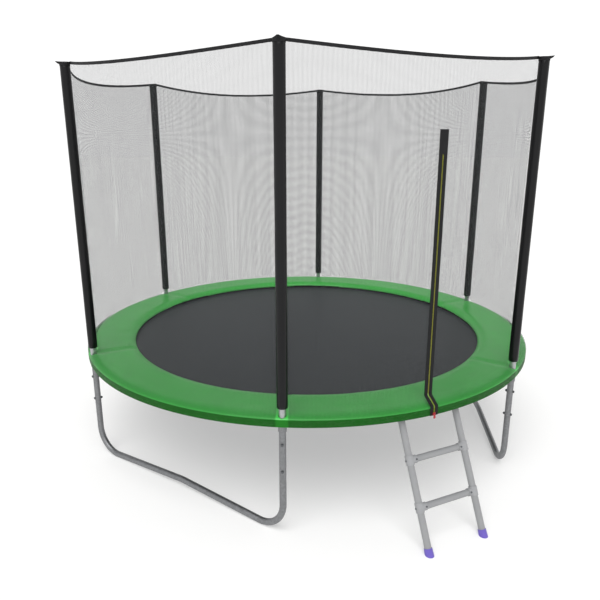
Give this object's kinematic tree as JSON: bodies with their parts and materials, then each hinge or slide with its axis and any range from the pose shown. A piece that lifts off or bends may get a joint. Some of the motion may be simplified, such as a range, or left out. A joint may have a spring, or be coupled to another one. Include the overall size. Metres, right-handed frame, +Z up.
{
  "type": "trampoline",
  "caption": "Round backyard trampoline with safety pad, zipped enclosure net on padded poles, bent tube legs and a hook-on ladder.",
  "frame": {"origin": "on the ground under the middle of the jumping mat", "axes": "+Z up; the zipped door and the ladder face -Y; +X to the right of someone who faces the door"},
  "size_m": [3.198, 3.4206, 2.4981],
  "materials": {
    "galvanised_tube": "hot-dip galvanised, satin",
    "pole_tube": "galvanised, satin",
    "foam_sleeve": "dark coated foam sleeve, slight sheen",
    "cap_plastic": "moulded, matt",
    "zinc_fastener": "zinc plated",
    "spring_wire": "zinc plated wire",
    "mat_cloth": "woven tape, matt black",
    "mat_webbing": "woven webbing, matt black",
    "pad_cover": "coated green cloth over foam, low sheen",
    "net_cloth": "open knitted net, dark",
    "band_webbing": "woven webbing, dark",
    "zip_tape": "woven zip tape, dark",
    "zip_chain": "moulded coil, dull yellow",
    "zip_metal": "red lacquer",
    "ladder_tube": "light grey powder coat",
    "ladder_plastic": "grey moulded plastic",
    "hook_steel": "zinc plated plate",
    "foot_plastic": "violet moulded plastic"
  },
  "bodies": {
    "frame": {"frame_rail_1": "galvanised_tube", "frame_rail_2": "galvanised_tube", "frame_rail_3": "galvanised_tube", "frame_rail_4": "galvanised_tube", "frame_rail_5": "galvanised_tube", "frame_rail_6": "galvanised_tube", "leg_base_1": "galvanised_tube", "leg_base_2": "galvanised_tube", "leg_base_3": "galvanised_tube", "leg_upright_1": "galvanised_tube", "leg_upright_2": "galvanised_tube", "leg_upright_3": "galvanised_tube", "leg_upright_4": "galvanised_tube", "leg_upright_5": "galvanised_tube", "leg_upright_6": "galvanised_tube", "pole_lower_1": "pole_tube", "pole_lower_2": "pole_tube", "pole_lower_3": "pole_tube", "pole_lower_4": "pole_tube", "pole_lower_5": "pole_tube", "pole_lower_6": "pole_tube", "pole_upper_1": "pole_tube", "pole_upper_2": "pole_tube", "pole_upper_3": "pole_tube", "pole_upper_4": "pole_tube", "pole_upper_5": "pole_tube", "pole_upper_6": "pole_tube", "pole_foam_1": "foam_sleeve", "pole_foam_2": "foam_sleeve", "pole_foam_3": "foam_sleeve", "pole_foam_4": "foam_sleeve", "pole_foam_5": "foam_sleeve", "pole_foam_6": "foam_sleeve", "pole_caps": "cap_plastic", "leg_bolts": "zinc_fastener", "leg_nuts_washers": "zinc_fastener", "rail_screws": "zinc_fastener", "springs": "spring_wire", "safety_pad": "pad_cover", "net_panels": "net_cloth", "door_panel": "net_cloth", "net_skirt": "net_cloth", "top_band": "band_webbing", "zip_tapes": "zip_tape", "zip_teeth": "zip_chain"},
    "mat": {"jumping_mat": "mat_cloth", "mat_hem": "mat_webbing", "webbing_loops": "mat_webbing", "v_rings": "spring_wire"},
    "ladder": {"ladder_rail_left": "ladder_tube", "ladder_rail_right": "ladder_tube", "ladder_rungs": "ladder_tube", "ladder_tees": "ladder_plastic", "ladder_hooks": "hook_steel", "ladder_screws": "zinc_fastener", "ladder_feet": "foot_plastic"},
    "zip_slider": {"zip_slider": "zip_metal"},
    "zip_pull": {"zip_pull": "zip_metal"}
  },
  "joints": [
    {"name": "mat_bounce", "type": "slide", "parent": "frame", "child": "mat", "axis": [0, 0, -1], "range_m": [0, 0.25], "stiffness_N_per_m": 7000, "springref_m": -0.01, "deforming": ["springs"]},
    {"name": "ladder_swing", "type": "hinge", "parent": "frame", "child": "ladder", "pos_m": [0.01699, -1.49718, 0.661], "axis": [-0.9999, -0.0113, 0], "range_deg": [0, 35]},
    {"name": "zip_slide", "type": "slide", "parent": "frame", "child": "zip_slider", "axis": [0, 0, 1], "range_m": [0, 0.03]},
    {"name": "zip_pull_swing", "type": "hinge", "parent": "zip_slider", "child": "zip_pull", "pos_m": [0, -1.5859, 0.6582], "axis": [-1, 0, 0], "range_deg": [0, 100]}
  ]
}
